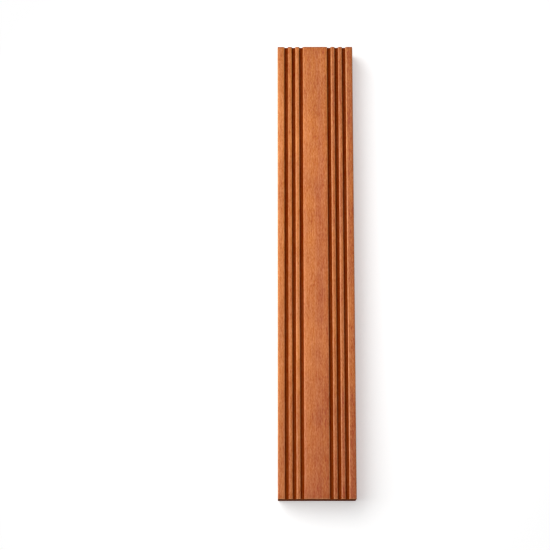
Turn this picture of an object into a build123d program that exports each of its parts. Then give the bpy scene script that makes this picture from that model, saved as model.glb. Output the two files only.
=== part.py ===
"""Hardwood decking board: one length of timber with a grooved, non-slip face.

Millimetres, +Z up. The board lies flat with its grooved face up, its length along Y and its
width along X. The origin is the middle of the underside.
"""

from build123d import *
import os

# The board over all
board_length = 540.0
board_width = 90.0
board_thickness = 32.0

# The grooved face: a flat tread along the middle, with the same grooves on each side of it
tread_width = 29.2
grooves_per_side = 3
groove_width = 4.2  # across the mouth, before its lips are rounded
groove_depth = 3.5
rib_width = 4.7
groove_wall_lean = 6.0  # degrees from upright, the relief of the cutter that ran the groove

# Rounded and eased edges
groove_lip_radius = 1.1
groove_root_radius = 0.6
top_arris_radius = 1.6
underside_arris_radius = 3.0
end_easing = 0.4  # sanded off every edge of the two sawn ends

# A rounding takes at most this share of the narrowest flat beside it
largest_share = 0.4

# Places along the width, from the middle outwards
groove_pitch = groove_width + rib_width
first_groove = tread_width / 2 + groove_width / 2
groove_centres = [first_groove + i * groove_pitch for i in range(grooves_per_side)]
edge_rib_width = board_width / 2 - groove_centres[-1] - groove_width / 2
thickness_under_groove = board_thickness - groove_depth

narrowest_rib = min(rib_width, edge_rib_width, tread_width)
lip_radius = min(groove_lip_radius, largest_share * min(narrowest_rib, groove_depth))
root_radius = min(groove_root_radius, largest_share * min(groove_width, groove_depth))
top_radius = min(top_arris_radius, largest_share * edge_rib_width)
underside_radius = min(underside_arris_radius, largest_share * thickness_under_groove)
easing = min(end_easing, largest_share * min(narrowest_rib, thickness_under_groove))

with BuildPart() as decking_board:
    # The moulded section, the same along the whole length, with its width along X
    with BuildSketch(Plane.XZ) as section:
        Rectangle(board_width, board_thickness, align=(Align.CENTER, Align.MIN))
        with Locations([(side * x, board_thickness) for side in (-1, 1) for x in groove_centres]):
            Trapezoid(
                groove_width,
                groove_depth,
                90 - groove_wall_lean,
                rotation=180,
                align=(Align.CENTER, Align.MIN),
                mode=Mode.SUBTRACT,
            )
        # The groove roots are the second row of corners up, and the lips are the top row
        # without its two ends, which are the board's own long arrises
        fillet(section.vertices().group_by(Axis.Y)[1], root_radius)
        fillet(section.vertices().group_by(Axis.Y)[-1].sort_by(Axis.X)[1:-1], lip_radius)
        top_row = section.vertices().group_by(Axis.Y)[-1].sort_by(Axis.X)
        fillet([top_row[0], top_row[-1]], top_radius)
        fillet(section.vertices().group_by(Axis.Y)[0], underside_radius)
    extrude(amount=board_length / 2, both=True)

    # Each sawn end has the whole outline of its face eased, in and out of the grooves
    for sawn_end in (faces().sort_by(Axis.Y)[0], faces().sort_by(Axis.Y)[-1]):
        chamfer(sawn_end.edges(), easing)

decking_board.part.label = "decking_board"

os.makedirs("parts", exist_ok=True)
export_step(decking_board.part, "parts/decking_board.step")

print(f"board {board_width} x {board_length} x {board_thickness} mm")
print(f"edge ribs {edge_rib_width:.2f} mm wide, grooves at {[round(x, 2) for x in groove_centres]}")
print(f"volume {decking_board.part.volume / 1000:.1f} cm3")
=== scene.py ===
# %% [markdown]
# # A hardwood decking board
#
# The object is one length of dense red-brown timber. A moulder has planed it to size and run
# three grooves along each side of its upper face, so that a wet deck stays safe to walk on. Both
# ends are sawn square and the whole board has been oiled.
#
# The packed model is the fixed frame. It gives the board's place and its outer size, in metres,
# with +Z up, the grain along Y and the width along X. Everything below is fitted to it.

# %% Load the packed board
import math
import bmesh
import bpy
from mathutils import Matrix, Vector, noise


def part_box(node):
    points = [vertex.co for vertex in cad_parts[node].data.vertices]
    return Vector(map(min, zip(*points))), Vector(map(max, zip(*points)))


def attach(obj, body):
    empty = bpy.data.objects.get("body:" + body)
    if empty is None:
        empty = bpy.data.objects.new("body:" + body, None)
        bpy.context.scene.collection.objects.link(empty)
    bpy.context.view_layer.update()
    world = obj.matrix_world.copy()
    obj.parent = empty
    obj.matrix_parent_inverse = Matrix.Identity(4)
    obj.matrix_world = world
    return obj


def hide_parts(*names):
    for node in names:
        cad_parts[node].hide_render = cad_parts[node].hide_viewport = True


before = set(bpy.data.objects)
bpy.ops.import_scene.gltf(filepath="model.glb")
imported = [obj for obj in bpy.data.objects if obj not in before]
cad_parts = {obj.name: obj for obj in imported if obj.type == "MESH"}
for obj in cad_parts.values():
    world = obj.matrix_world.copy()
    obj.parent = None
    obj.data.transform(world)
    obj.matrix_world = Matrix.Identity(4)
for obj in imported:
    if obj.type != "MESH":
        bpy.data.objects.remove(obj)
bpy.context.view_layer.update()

MM = 0.001  # one millimetre in metres

print("packed nodes:", sorted(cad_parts))

# %% [markdown]
# ## The sizes that the looks need
#
# A finer board could be had by giving the packed node more facets, but a packed node's mesh is
# never touched. A new mesh can follow the same section with smoother roundings and a little wear,
# and stand for the node. Its outer size is read from the frame, so the two can't disagree. The
# sizes inside the section are the moulder's settings, in millimetres as a workshop writes them.

# %% Sizes of the moulded section
low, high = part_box("decking_board")
board_width = high.x - low.x
board_length = high.y - low.y
board_thickness = high.z - low.z

tread_width = 29.2 * MM
grooves_per_side = 3
groove_width = 4.2 * MM
groove_depth = 3.5 * MM
rib_width = 4.7 * MM
groove_wall_lean = math.radians(6)

lip_radius = 1.1 * MM
root_radius = 0.6 * MM
top_arris_radius = 1.6 * MM
underside_arris_radius = 3.0 * MM
end_easing = 0.4 * MM

groove_floor = board_thickness - groove_depth
first_groove = (tread_width + groove_width) / 2
groove_pitch = groove_width + rib_width
right_grooves = [first_groove + i * groove_pitch for i in range(grooves_per_side)]
groove_centres = sorted([-x for x in right_grooves] + right_grooves)
print("groove centres in mm:", [round(centre / MM, 2) for centre in groove_centres])

# %% [markdown]
# ## The section, cut as the moulder cuts it
#
# The real section is made by cutter heads that plane a rectangle and plough the grooves into it.
# It could be typed in as a list of points, but then a change of one size means a new list. Here
# the rectangle is one grid cell stood on its edge, and planes score it where the cutters run:
# one plane along all the groove floors, and two leaning planes for the walls of each groove.
# What lies inside a groove is deleted, and the scores that are left are dissolved again.

# %% Score the rectangle and take the grooves out
section = bmesh.new()
bmesh.ops.create_grid(section, x_segments=1, y_segments=1, size=0.5)
bmesh.ops.scale(section, vec=(board_width, board_thickness, 1), verts=section.verts)
bmesh.ops.translate(section, vec=(0, board_thickness / 2, 0), verts=section.verts)
stand_up = Matrix.Rotation(math.radians(90), 3, "X")
bmesh.ops.rotate(section, cent=(0, 0, 0), matrix=stand_up, verts=section.verts)


def score(plane_co, plane_no):
    """Cuts every face of the section along a plane, and takes nothing away."""
    everything = section.verts[:] + section.edges[:] + section.faces[:]
    bmesh.ops.bisect_plane(section, geom=everything, plane_co=plane_co, plane_no=plane_no)


score((0, 0, groove_floor), (0, 0, 1))
for centre in groove_centres:
    for side in (-1, 1):
        mouth_edge = (centre + side * groove_width / 2, 0, board_thickness)
        across_wall = (math.cos(groove_wall_lean), 0, -side * math.sin(groove_wall_lean))
        score(mouth_edge, across_wall)


def in_a_groove(point):
    """True for a point of the section that a groove cutter passes through."""
    if point.z < groove_floor:
        return False
    reach = groove_width / 2 - (board_thickness - point.z) * math.tan(groove_wall_lean)
    return any(abs(point.x - centre) < reach for centre in groove_centres)


chips = [face for face in section.faces if in_a_groove(face.calc_center_median())]
bmesh.ops.delete(section, geom=chips, context="FACES")
bmesh.ops.dissolve_limit(
    section, angle_limit=math.radians(0.5), verts=section.verts, edges=section.edges
)
print("the cut section has", len(section.faces), "face and", len(section.verts), "corners")

# %% [markdown]
# ## Round every corner of the section
#
# No edge on a deck board is left sharp: a sharp lip splinters under bare feet and sheds its oil.
# A bevel along the edges of the finished board would do, but on the flat section it is a bevel of
# corners, which can't run into trouble at the ends. A corner is known by its height and by
# whether it stands outermost, and each kind of corner gets its own radius.

# %% Round the lips, the groove roots and the four long arrises
HAIR = 0.01 * MM  # places that are nearer than this count as one


def corners_at(height, outermost):
    """The section's corners at a height, either the two at its sides or all the others."""
    level = [v for v in section.verts if abs(v.co.z - height) < HAIR]
    side = board_width / 2 - HAIR
    return [v for v in level if (abs(v.co.x) > side) == outermost]


def round_off(items, radius, segments, affect="VERTICES"):
    """Rounds corners of the section, or its edges, to a radius."""
    bmesh.ops.bevel(
        section,
        geom=items,
        offset=radius,
        offset_type="OFFSET",
        affect=affect,
        segments=segments,
        profile=0.5,
        material=-1,
    )


round_off(corners_at(groove_floor, outermost=False), root_radius, segments=4)
round_off(corners_at(board_thickness, outermost=False), lip_radius, segments=6)
round_off(corners_at(board_thickness, outermost=True), top_arris_radius, segments=7)
round_off(corners_at(0, outermost=True), underside_arris_radius, segments=8)
print("rounded, it has", len(section.verts), "corners")

# %% [markdown]
# ## Divide the flats
#
# The tread and the sides are plain flats, and two corners would be enough to draw them. But smooth
# shading blends the direction of a face across its whole width, so a wide flat beside a tight
# rounding would look dished. Marking the flats as sharp would cure that and show a hard line
# instead. A few more corners along each flat keep the blend close to the rounding. The grooved
# face gets more of them than the sides and the underside, because it is looked at from close by.

# %% Put more corners on the long straight stretches
LONGEST_STRETCH_ABOVE = 2.4 * MM
LONGEST_STRETCH_BELOW = 7.0 * MM
grooved_part = groove_floor - MM  # the height at which it begins

for edge in section.edges[:]:
    height = (edge.verts[0].co.z + edge.verts[1].co.z) / 2
    longest = LONGEST_STRETCH_ABOVE if height > grooved_part else LONGEST_STRETCH_BELOW
    cuts = math.ceil(edge.calc_length() / longest) - 1
    if cuts > 0:
        bmesh.ops.subdivide_edges(section, edges=[edge], cuts=cuts)
print("with its flats divided, it has", len(section.verts), "corners")

# %% [markdown]
# ## Run the section along the board
#
# On the machine the timber is pushed past the cutters, so every place along it has the same
# section. An extrusion is exactly that. A Curve with the section as its bevel would also sweep
# it, but its ends are harder to finish. The outline of each sawn end is eased with a small bevel,
# as sandpaper does, and the long edges are divided so that the next step has points to move.
# Normals are worked out afresh, because an extrusion may leave the first face turned in.

# %% Extrude, ease the ends and divide the length
SLICES = 110
CUBIC_CM = 1e-6  # one cubic centimetre in cubic metres

bmesh.ops.translate(section, vec=(0, -board_length / 2, 0), verts=section.verts)
run = bmesh.ops.extrude_face_region(section, geom=section.faces[:])
far_end = [item for item in run["geom"] if isinstance(item, bmesh.types.BMVert)]
bmesh.ops.translate(section, vec=(0, board_length, 0), verts=far_end)
bmesh.ops.recalc_face_normals(section, faces=section.faces)


def along_board(edge):
    """How far an edge reaches along the board."""
    return abs(edge.verts[0].co.y - edge.verts[1].co.y)


end_outline = [edge for edge in section.edges if along_board(edge) < HAIR]
round_off(end_outline, end_easing, segments=2, affect="EDGES")
long_edges = [edge for edge in section.edges if along_board(edge) > board_length / 2]
bmesh.ops.subdivide_edges(section, edges=long_edges, cuts=SLICES - 1, use_grid_fill=True)
print("the board has", len(section.faces), "faces")
print("and a volume of", round(section.calc_volume() / CUBIC_CM, 1), "cm3")

# %% [markdown]
# ## Roundings that wander a little
#
# Cutters chatter, fibres lift and sandpaper dips, so a real lip wanders by a tenth of a
# millimetre or so along its length. Noise could be laid over the whole surface as bump, but the
# roundings are what a low light draws, so there the mesh itself is moved. A point moves inwards
# only, and by its slope: a flat has none and stays where it is, so the board keeps its size and
# still lies flat.

# %% Let the roundings wander
DEEPEST_DIP = 0.16 * MM
DIP_SPACING = Vector((6 * MM, 24 * MM, 6 * MM))
DIP_LAYERS = 3
LAYER_FINENESS = 2.0  # each layer of dips is this much finer than the last
LAYER_FADING = 0.7  # the higher this is, the shallower the finer layers are
LEAST_SLOPE = 0.05  # a place with less counts as flat

section.normal_update()
moved = 0
for vert in section.verts:
    # 0 on a flat and 1 halfway round a rounding
    slope = 2 * abs(vert.normal.x * vert.normal.z)
    if slope < LEAST_SLOPE or abs(vert.co.y) > board_length / 2 - 2 * end_easing:
        continue
    spot = Vector(c / spacing for c, spacing in zip(vert.co, DIP_SPACING))
    dip = 0.5 + 0.5 * noise.fractal(spot, LAYER_FADING, LAYER_FINENESS, DIP_LAYERS)
    vert.co -= vert.normal * DEEPEST_DIP * slope * min(max(dip, 0), 1)
    moved += 1
print(moved, "points on the roundings moved by up to", DEEPEST_DIP / MM, "mm")

# %% [markdown]
# ## Hand the mesh over
#
# The packed node and the new mesh are the same board, so only one of them may be shown. Deleting
# the packed one would take it from the physics too. The new mesh rides the board's body instead,
# and the packed node is hidden, so the mesh is shown in its place. The sawn ends are cut clean
# across, so they are shaded flat and everything else smooth.

# %% Let the mesh stand for the packed board
SQUARE_TO_LENGTH = 0.9  # a face that points along the board more than this is a sawn end

scene = bpy.context.scene


def placed(name, data):
    """A new object of the scene, from a mesh, a lamp or a camera."""
    item = bpy.data.objects.new(name, data)
    scene.collection.objects.link(item)
    return item


def built(form, name):
    """Turns a bmesh into an object of the scene."""
    mesh = bpy.data.meshes.new(name)
    form.to_mesh(mesh)
    form.free()
    return placed(name, mesh)


for face in section.faces:
    face.smooth = abs(face.normal.y) < SQUARE_TO_LENGTH
board = built(section, "board")
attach(board, "root")
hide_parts("decking_board")
print("board triangles:", sum(len(p.vertices) - 2 for p in board.data.polygons))

# %% [markdown]
# ## Shader maths written as it is thought
#
# The wood is a solid pattern, worked out from where a point lies in the board, so that the grain
# runs over the roundings and out at the sawn ends as it does in real timber. That takes a lot of
# small sums. Wiring them one by one hides the thought, so a number that varies over the surface
# is wrapped in a class, and plus, minus, times and divide add the Math nodes.

# %% A number that varies
class Varying:
    """A socket's number, with the operators that this file uses."""

    def __init__(self, finish, socket):
        self.finish = finish
        self.socket = socket

    def __add__(self, other):
        return self.finish.math("ADD", self, other)

    def __sub__(self, other):
        return self.finish.math("SUBTRACT", self, other)

    def __rsub__(self, other):
        return self.finish.math("SUBTRACT", other, self)

    def __mul__(self, other):
        return self.finish.math("MULTIPLY", self, other)

    def __truediv__(self, other):
        return self.finish.math("DIVIDE", self, other)

    def __pow__(self, other):
        return self.finish.math("POWER", self, other)

    def __abs__(self):
        return self.finish.math("ABSOLUTE", self)

    __radd__ = __add__
    __rmul__ = __mul__

    def ramp(self, start, stop):
        """0 up to start, 1 from stop on, and a smooth rise between them."""
        return self.finish.add(
            "ShaderNodeMapRange",
            {"interpolation_type": "SMOOTHSTEP"},
            {"Value": self, "From Min": start, "From Max": stop},
        )


print("numbers that vary can be added, subtracted, multiplied, divided, raised and ramped")

# %% [markdown]
# ## One method for every other node
#
# Each kind of node could have a helper of its own, but one method does for all of them. It takes
# a node's type, its settings, and what goes into its sockets. The settings are made first,
# because some of them change which sockets there are. A socket is called by its name, or by its
# number where names repeat, and it takes a plain value or a link.

# %% A finish that the numbers belong to
class Finish:
    """The nodes of a material, or of the world, while they are being wired."""

    def __init__(self, owner):
        owner.use_nodes = True
        self.tree = owner.node_tree
        self.tree.nodes.clear()

    def add(self, kind, settings=None, sockets=None, output=0):
        """Adds a node, sets it, then fills its sockets with values or links."""
        node = self.tree.nodes.new(kind)
        for name, value in (settings or {}).items():
            setattr(node, name, value)
        for name, value in (sockets or {}).items():
            if isinstance(value, Varying):
                self.tree.links.new(value.socket, node.inputs[name])
            else:
                node.inputs[name].default_value = value
        return None if output is None else Varying(self, node.outputs[output])

    def math(self, operation, *numbers):
        """One step of arithmetic on numbers, of which at least one varies."""
        return self.add("ShaderNodeMath", {"operation": operation}, dict(enumerate(numbers)))

    def mix(self, factor, first, second):
        """One shader turning into another."""
        return self.add("ShaderNodeMixShader", None, {"Fac": factor, 1: first, 2: second})

    def show(self, shader, output="ShaderNodeOutputMaterial"):
        """Makes a shader what the owner shows."""
        self.add(output, None, {"Surface": shader}, output=None)


print("a finish adds its nodes with:", [name for name in vars(Finish) if name[0] != "_"])

# %% [markdown]
# ## Where a point lies in the timber
#
# The pattern is read from Object coordinates, turned into millimetres. A UV map would do for one
# face, but its grain would break off at every edge. Fibres don't run quite straight: in the
# tropical hardwoods that decking is cut from they lean one way for a few centimetres and then the
# other, which is called interlocked grain. A slow noise pushes the place sideways before any other
# pattern reads it, so fibres, pores and rings all lean together. All the grain is noise that is
# stretched along Y, and one helper makes it from the width and the length that its strokes have
# in the wood. Each noise starts at a place of its own, so that no two of them run alike.

# %% Places in millimetres, along fibres that lean
FIBRE_LEAN = 6.0  # mm between the furthest leans to either side
LEAN_DOWNWARDS = 0.6  # how much of the sideways lean also goes down into the wood


def colour(red, green, blue):
    """A colour from 0 to 255, with the screen's curve taken out, as a shader wants it."""
    shares = [c / 255 for c in (red, green, blue)]
    return [c / 12.92 if c < 0.04 else ((c + 0.055) / 1.055) ** 2.4 for c in shares] + [1]


wood_material = bpy.data.materials.new("oiled_hardwood")
wood = Finish(wood_material)
place = wood.add(
    "ShaderNodeVectorMath",
    {"operation": "SCALE"},
    {"Vector": wood.add("ShaderNodeTexCoord", output="Object"), "Scale": 1 / MM},
)


def drawn_out(vector, width, length, start=0):
    """Places measured in steps of a width across the grain and a length along it, in mm."""
    steps = (1 / width, 1 / length, 1 / width)
    return wood.add(
        "ShaderNodeMapping",
        None,
        {"Vector": vector, "Location": (start, start, 0), "Scale": steps},
    )


def grain(vector, width, length, start, detail=1):
    """Noise about 0 with features of a width across the grain and a length along it, in mm."""
    spot = drawn_out(vector, width, length, start)
    settings = {"Vector": spot, "Scale": 1, "Detail": detail, "Roughness": 0.5}
    return wood.add("ShaderNodeTexNoise", None, settings) - 0.5


def parts(vector):
    """The X, Y and Z of a vector."""
    split = wood.add("ShaderNodeSeparateXYZ", None, {"Vector": vector}).socket.node
    return [Varying(wood, split.outputs[axis]) for axis in "XYZ"]


x, y, z = parts(place)
lean = grain(place, width=40, length=150, start=3) * FIBRE_LEAN
fibre_x = x + lean
fibre_z = z + lean * LEAN_DOWNWARDS
along_fibre = wood.add("ShaderNodeCombineXYZ", None, {"X": fibre_x, "Y": y, "Z": fibre_z})
print("places are in mm, and the wood has", len(wood.tree.nodes), "nodes so far")

# %% [markdown]
# ## Growth rings
#
# A ring is one year's wood round the pith, and this board was sawn well away from the pith of its
# tree. A Wave texture draws rings only round its own origin. Here the distance from a pith below
# the board and to its left is worked out, bent by noise, and put through a sine, so the same sum
# draws faint lines on the faces and arcs on the sawn ends.

# %% Rings round a pith below the board
PITH_X = -70.0  # mm, as are the next three
PITH_Z = -95.0
RING_SPACING = 5.2
RING_BEND = 9.0

from_pith = ((fibre_x - PITH_X) ** 2 + (fibre_z - PITH_Z) ** 2) ** 0.5
bent = from_pith + grain(along_fibre, width=30, length=260, start=11, detail=3) * RING_BEND
rings = wood.math("SINE", bent * (2 * math.pi / RING_SPACING))
print("rings", RING_SPACING, "mm apart, with the wood at", len(wood.tree.nodes), "nodes")

# %% [markdown]
# ## Heartwood tones
#
# Seen from a step away a board isn't one colour. It drifts from golden orange on its left to a
# redder brown on its right. It is clouded with softer patches a centimetre or two wide, and it is
# a little darker towards its ends, which is painted shade for the light that falls off there, and
# darker still at its tips. A photograph of timber would show all that, but from one side only. Two
# tones are mixed by one number instead, and that number adds up the drift, the painted shade, the
# clouds and the rings, each with a factor that says how much it counts.

# %% Mix golden and russet heartwood
GOLDEN = colour(210, 120, 53)
RUSSET = colour(172, 83, 26)
MIDDLE_TONE = 0.47
PALE_STRIPE_X = -14.0  # mm

# A Mix node's sockets share their names, so its colours are called by their number
COLOUR_A = 6
COLOUR_B = 7
COLOUR_RESULT = 2

# In mm, as the places in the wood are
half_width = board_width / 2 / MM
half_length = board_length / 2 / MM
half_tread = tread_width / 2 / MM


def blended(factor, first, second, settings=None):
    """One colour turning into another."""
    return wood.add(
        "ShaderNodeMix",
        {"data_type": "RGBA"} | (settings or {}),
        {"Factor": factor, COLOUR_A: first, COLOUR_B: second},
        output=COLOUR_RESULT,
    )


drift = x / (2 * half_width)
pale_stripe = 1 - abs(x - PALE_STRIPE_X).ramp(start=6, stop=18)
on_ribs = abs(x).ramp(start=half_tread - 1.6, stop=half_tread + 3.4)
# Painted shade: darker towards both ends, for the light that falls off there; the tips are darker
# still
shade_towards_ends = abs(y).ramp(start=half_length - 160, stop=half_length)
at_tips = abs(y).ramp(start=half_length - 18, stop=half_length - 2)
clouds = grain(along_fibre, width=12, length=28, start=21)
broad_clouds = grain(along_fibre, width=34, length=130, start=31)

tone_across = drift * 0.50 - pale_stripe * 0.20 + on_ribs * 0.10
darker_along = shade_towards_ends * 0.20 + at_tips * 0.10
patches = clouds * 0.88 + broad_clouds * 0.80 + rings * 0.05
tone = MIDDLE_TONE + tone_across + darker_along + patches
fresh_heartwood = blended(tone, GOLDEN, RUSSET)
print("two tones are mixed, with the wood at", len(wood.tree.nodes), "nodes")

# %% [markdown]
# ## Where the sun has reached
#
# Light takes the red out of oiled timber first, so the ribs, which stand free, and the end that
# lay further out have gone a shade browner. A blend to a third tone would also flatten the grain
# there. A tint is added instead, and this one takes red away and gives a little green back.

# %% Fade the ribs and the far end
FADED = [-0.035, 0.009, 0, 1]
FADING = 0.7


def tinted(first, tint, amount):
    """A colour with a varying amount of a tint added to it, or taken from it."""
    return blended(amount, first, tint, {"blend_type": "ADD", "clamp_factor": False})


towards_far_end = y.ramp(start=half_length - 150, stop=half_length)
heartwood = tinted(fresh_heartwood, FADED, (on_ribs + towards_far_end) * FADING)
print("the ribs are faded, with the wood at", len(wood.tree.nodes), "nodes")

# %% [markdown]
# ## Fibres and pores
#
# Close up, the face of this timber is all strokes: bundles of fibres, each a millimetre or less
# across, that catch the light over a few millimetres, a centimetre or a whole hand, and between
# them the pores. A pore is a tube along the grain. A planed face cuts it open as a fine dark
# scratch, and a sawn end cuts it across as a dot. Noise drawn out along Y gives the strokes, and
# Voronoi cells drawn out the same way give the tubes, so scratches and dots are one pattern.
#
# A pale fibre isn't just brighter: its sheen adds white, so it is less saturated than a dark one.
# Here that sheen is painted into the colour, so the strokes are partly grain and partly painted
# sheen. That is why they are a tint that is added, where a plain factor would keep the colour pure.

# %% Add the strokes of the fibres and the pores between them
SHEEN = colour(159, 130, 99)

streaks = grain(along_fibre, width=0.9, length=110, start=35)
fibres = grain(along_fibre, width=0.7, length=12, start=41)
flecks = grain(along_fibre, width=0.7, length=3.0, start=47)
tubes = {"Vector": drawn_out(along_fibre, width=0.9, length=7), "Scale": 1}
from_tube = wood.add("ShaderNodeTexVoronoi", None, tubes, output="Distance")
pores = 1 - from_tube.ramp(start=0.16, stop=0.34)

# The strokes are grain; the white that their pale part adds is painted sheen
grain_and_sheen = streaks * 0.50 + fibres * 0.80 + flecks * 1.00 - pores * 0.28
print("fibres and pores are in, with the wood at", len(wood.tree.nodes), "nodes")

# %% [markdown]
# ## Blush
#
# Some fibres are orange and others a cooler pink, in bands that run on far longer than any one
# stroke, and the near end is a shade pinker than the far one. Changing the two heartwood tones
# would change how light the bands are as well. The blush only trades red for blue, by a long wide
# noise and a narrow one.

# %% Add the pink bands
BLUSH = [-0.24, -0.016, 0.074, 1]
BLUSH_PER_MM = 0.0003  # how much it grows with each millimetre towards the near end

wide_blush = grain(along_fibre, width=7, length=260, start=131)
narrow_blush = grain(along_fibre, width=1.9, length=130, start=55)
blush = wide_blush * 0.40 + narrow_blush * 0.22 - y * BLUSH_PER_MM
face_colour = tinted(tinted(heartwood, SHEEN, grain_and_sheen), BLUSH, blush)
print("the planed face is coloured, with the wood at", len(wood.tree.nodes), "nodes")

# %% [markdown]
# ## Pale lips: wear and painted highlight
#
# The lips and edges are painted paler. Along the right lip of every rib, the long edges and the
# near end that is partly wear from each foot and brush and partly painted highlight. The left lip
# of a rib faces the lamp, and there it is painted highlight, far stronger on a few ribs than on
# others.
# A painted mask could say where, but then it has to be repainted when a size changes. The distance
# from each groove's two lips finds them instead, and one number for each groove says how bright its
# lip on the right, which is the left lip of the next rib, is painted.

# %% Paint the lips and the near end paler, as wear and painted highlight
# A pale tint that is partly wear and partly painted highlight; the numbers per groove are painted
# highlight on the left lips
PALE_WEAR_AND_HIGHLIGHT = colour(220, 172, 124)
EDGE_WEAR_AND_HIGHLIGHT = 0.25
LEFT_LIP_HIGHLIGHT = (0.0, 0.33, 0.05, 0.30, 0.31, 0.50)  # groove by groove, from the left
MEAN_PALENESS = 0.9  # a noise adds to it in patches and takes from it in others

half_mouth = groove_width / 2 / MM
depth = board_thickness / MM - z


def close_to(distance):
    """1 beside an edge, fading to 0 within about a millimetre of it."""
    return 1 - distance.ramp(start=0.5, stop=1.3)


to_outline = wood.math("MINIMUM", half_width - abs(x), half_length + y)
# Painted highlight and wear along the edges and lips
wear_and_highlight = close_to(to_outline) * EDGE_WEAR_AND_HIGHLIGHT
for centre, left_lip_highlight in zip(groove_centres, LEFT_LIP_HIGHLIGHT):
    off_centre = x - centre / MM
    wear_and_highlight += close_to(abs(off_centre - half_mouth)) * left_lip_highlight
    wear_and_highlight += close_to(abs(off_centre + half_mouth)) * EDGE_WEAR_AND_HIGHLIGHT
uneven = grain(along_fibre, width=3, length=9, start=71, detail=2) + MEAN_PALENESS
on_top = 1 - depth.ramp(start=0.6, stop=1.2)

paled = tinted(face_colour, PALE_WEAR_AND_HIGHLIGHT, wear_and_highlight * uneven * on_top)
print("the lips are rubbed, with the wood at", len(wood.tree.nodes), "nodes")

# %% [markdown]
# ## Oil and painted shade in the grooves
#
# The grooves are painted dark, partly with oil that ran down into them and dried there thick and
# dark, and partly with painted shade, the shade that falls into a narrow groove. They are painted
# darker towards the far end. The grooves could be given faces with a finish of their own, but the
# dark colour thins out up their walls without an edge. Between the long edges, the groove walls
# and floors are all that lies a little way below the tread. So the depth under the tread finds
# them, if it also leaves the underside out.

# %% Darken the grooves with oil and painted shade
# Painted shade and oil: the groove colours are partly oil and partly the shade in the grooves
FAR_GROOVE_OIL_AND_SHADE = colour(131, 50, 6)
NEAR_GROOVE_OIL_AND_SHADE = colour(152, 63, 11)
SHEEN_THROUGH_OIL = 0.3

deepest = groove_depth / MM
below_tread = depth.ramp(start=0.25, stop=1.1)
between_edges = 1 - abs(x).ramp(start=half_width - 1.2, stop=half_width - 0.8)
above_underside = 1 - depth.ramp(start=deepest + 0.5, stop=deepest + 1.5)
in_groove = below_tread * between_edges * above_underside

towards_far_end_evenly = y / (2 * half_length) + 0.5
groove_oil_and_shade = blended(towards_far_end_evenly, NEAR_GROOVE_OIL_AND_SHADE, FAR_GROOVE_OIL_AND_SHADE)
oiled_and_shaded_groove = tinted(groove_oil_and_shade, SHEEN, grain_and_sheen * SHEEN_THROUGH_OIL)
print("the grooves are oiled, with the wood at", len(wood.tree.nodes), "nodes")

# %% [markdown]
# ## The sawn ends
#
# End grain drinks far more oil than a planed face, because the saw cuts straight across the pores,
# and it dries dark and even, with the rings still showing. At the far end the oil has also crept
# round the corner onto the last millimetre or two of the upper face. Faces with a finish of their
# own would do for the ends but not for what crept. The distance from each end finds both, and one
# mix puts the three surfaces together.

# %% Darken the ends, and put the three surfaces together
END_GRAIN = colour(126, 68, 38)
MOST_CREPT = 0.6

sawn = abs(y).ramp(start=half_length - 0.06, stop=half_length - 0.02)
crept_round = y.ramp(start=half_length - 1.8, stop=half_length - 0.2) * MOST_CREPT
at_end = wood.math("MAXIMUM", sawn, crept_round)
# The end's strokes: grain, with painted sheen in their white
end_grain_and_sheen = streaks * 0.3 + fibres * 0.2 + rings * 0.06 - pores * 0.16
end_tone = tinted(END_GRAIN, SHEEN, end_grain_and_sheen)
surface_colour = blended(at_end, blended(in_groove, paled, oiled_and_shaded_groove), end_tone)
print("the ends are in, with the wood at", len(wood.tree.nodes), "nodes")

# %% [markdown]
# ## The surface of the wood
#
# Oiled timber has no film on it, so its shine is broad and weak, a little tighter on the smooth
# fibres than in the open pores. The pores are real hollows, a few hundredths of a millimetre
# deep, and the bump that draws them is given in true metres. The grooves are as rough as the
# cutter left them and the ends as rough as the saw did, so neither shines at all. The amount of
# shine is best left the same all over a shader. So there are two, one satin and one dull, and the
# masks that found the grooves and the ends mix them.

# %% Put colour, roughness and relief on the shaders
SATIN_ROUGHNESS = 0.42
SATIN_SHINE = 0.4

left_rough = wood.math("MAXIMUM", in_groove, sawn)
planed = SATIN_ROUGHNESS + pores * 0.2 - fibres * 0.25
roughness = planed + left_rough * (1 - SATIN_ROUGHNESS)
relief = fibres * 0.04 + flecks * 0.03 - pores * 0.05
bump = wood.add("ShaderNodeBump", None, {"Strength": 1.0, "Distance": MM, "Height": relief})


def wood_surface(shine):
    """The wood's colour, roughness and relief with an amount of shine."""
    return wood.add(
        "ShaderNodeBsdfPrincipled",
        None,
        {
            "Base Color": surface_colour,
            "Roughness": roughness,
            "Specular IOR Level": shine,
            "Normal": bump,
        },
    )


satin = wood_surface(SATIN_SHINE)
dull = wood_surface(shine=0.0)
wood.show(wood.mix(left_rough, satin, dull))
board.data.materials.append(wood_material)
print("the oiled hardwood has", len(wood.tree.nodes), "nodes")

# %% [markdown]
# ## The floor
#
# The board lies on a plain white studio floor that keeps its soft shadow. A paper sweep would need
# its curve kept out of every view, and a single flat sheet has none. It is stage, not part of the
# object, so it rides no body.

# %% Lay a flat sheet under the board
FLOOR_SIZE = 8.0  # metres

sheet = bmesh.new()
bmesh.ops.create_grid(sheet, x_segments=1, y_segments=1, size=FLOOR_SIZE / 2)
floor = built(sheet, "floor")
print("the floor is", FLOOR_SIZE, "m square")

# %% [markdown]
# ## A floor that looks white
#
# More light would turn the floor white and burn the wood out with it. So the whiteness comes from
# the floor itself: for the camera only, it glows a little on top of what the lamps give it, and
# further off than the board's shadow reaches it fades to blank paper. To every other ray it is a
# plain pale floor, which throws a soft light back on the board's sides. Shines and glass count as
# the camera here, so that they would show the same white.

# %% Finish the floor
FLOOR_ALBEDO = 0.95
FLOOR_LIFT = 0.38
BLANK_START = 0.33  # metres from the board's middle
BLANK_STOP = 0.48


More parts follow.
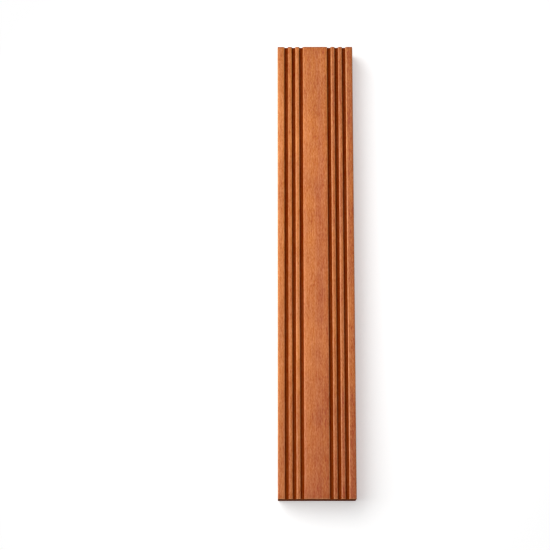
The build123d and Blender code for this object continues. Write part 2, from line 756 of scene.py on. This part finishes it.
def seen_directly(finish):
    """1 for a ray that comes from the camera, straight or by way of a shine or a glass, else 0."""
    path = finish.add("ShaderNodeLightPath").socket.node
    straight, shine, glass = [
        Varying(finish, path.outputs[f"Is {kind} Ray"])
        for kind in ("Camera", "Glossy", "Transmission")
    ]
    return finish.math("MAXIMUM", straight, finish.math("MAXIMUM", shine, glass))


paper_material = bpy.data.materials.new("paper_white")
paper = Finish(paper_material)
in_view = seen_directly(paper)
pale = paper.add("ShaderNodeBsdfDiffuse", None, {"Color": (FLOOR_ALBEDO,) * 3 + (1,)})
lift = paper.add("ShaderNodeEmission", None, {"Strength": in_view * FLOOR_LIFT})
lifted = paper.add("ShaderNodeAddShader", None, {0: pale, 1: lift})
blank = paper.add("ShaderNodeEmission", None, {"Strength": 1.0})
floor_place = paper.add("ShaderNodeTexCoord", output="Object")
from_board = paper.add(
    "ShaderNodeVectorMath", {"operation": "LENGTH"}, {"Vector": floor_place}, output="Value"
)
far_off = from_board.ramp(BLANK_START, BLANK_STOP) * in_view
paper.show(paper.mix(far_off, lifted, blank))
floor.data.materials.append(paper_material)
print("the floor's finish has", len(paper.tree.nodes), "nodes")

# %% [markdown]
# ## One soft box
#
# A large square lamp hangs to the left of the board and slightly beyond it. Its size matters more
# than its power: from a small lamp the shadow would have a hard edge, and from this one it fades
# from the board's foot to nothing within a hand's breadth. It lights the left lip of every rib
# and leaves the right one dark, which is what makes the grooves read as grooves from above.

# %% Hang the soft box
BOX_PLACE = Vector((-0.54, 0.22, 0.55))  # metres
BOX_SIZE = 1.3  # metres
BOX_POWER = 12.0  # watts

box_data = bpy.data.lights.new("soft_box", "AREA")
box_data.shape = "SQUARE"
box_data.size = BOX_SIZE
box_data.energy = BOX_POWER
soft_box = placed("soft_box", box_data)
soft_box.location = BOX_PLACE
soft_box.rotation_euler = (-BOX_PLACE).to_track_quat("-Z", "Y").to_euler()
soft_box.visible_camera = False
print("the soft box hangs", round(BOX_PLACE.length, 2), "m from the board")

# %% [markdown]
# ## An even room
#
# The rest of the studio is a dim even white all round, which fills the shadows. A second lamp would
# fill them too, but with a shadow of its own. To the camera the room is blank white, as the floor
# is, so no horizon shows from low down.

# %% Light the room evenly
ROOM_LIGHT = 0.26

room = bpy.data.worlds.new("room")
backdrop = Finish(room)
strength = seen_directly(backdrop) * (1 - ROOM_LIGHT) + ROOM_LIGHT
sky = backdrop.add("ShaderNodeBackground", None, {"Color": (1, 1, 1, 1), "Strength": strength})
backdrop.show(sky, output="ShaderNodeOutputWorld")
scene.world = room
scene.view_settings.view_transform = "Standard"
print("the room gives", ROOM_LIGHT, "of full white to all but the camera")

# %% [markdown]
# ## The camera
#
# The board is seen from high above its near end, through a long lens, so that its long edges
# close in only slightly towards the far end. A shorter lens from nearer by would frame it as well,
# but swell the near end. The lens, the height and the tilt belong together: they come from the way
# those edges close in and from how much of the near end shows.

# %% Look down on the board as the picture does
CAMERA_PLACE = Vector((-45.54 * MM, -421.49 * MM, 1979.52 * MM))
CAMERA_TURN = [math.radians(angle) for angle in (11.927, 0.074, -0.016)]
LENS_MM = 111.66
SENSOR_MM = 36
FURTHEST_SEEN = 50  # metres

camera_data = bpy.data.cameras.new("camera")
camera_data.sensor_width = SENSOR_MM
camera_data.lens = LENS_MM
camera_data.clip_end = FURTHEST_SEEN
camera = placed("camera", camera_data)
camera.location = CAMERA_PLACE
camera.rotation_euler = CAMERA_TURN
scene.camera = camera
print("the camera looks down from", round(CAMERA_PLACE.length, 2), "m with a", LENS_MM, "mm lens")

# %% [markdown]
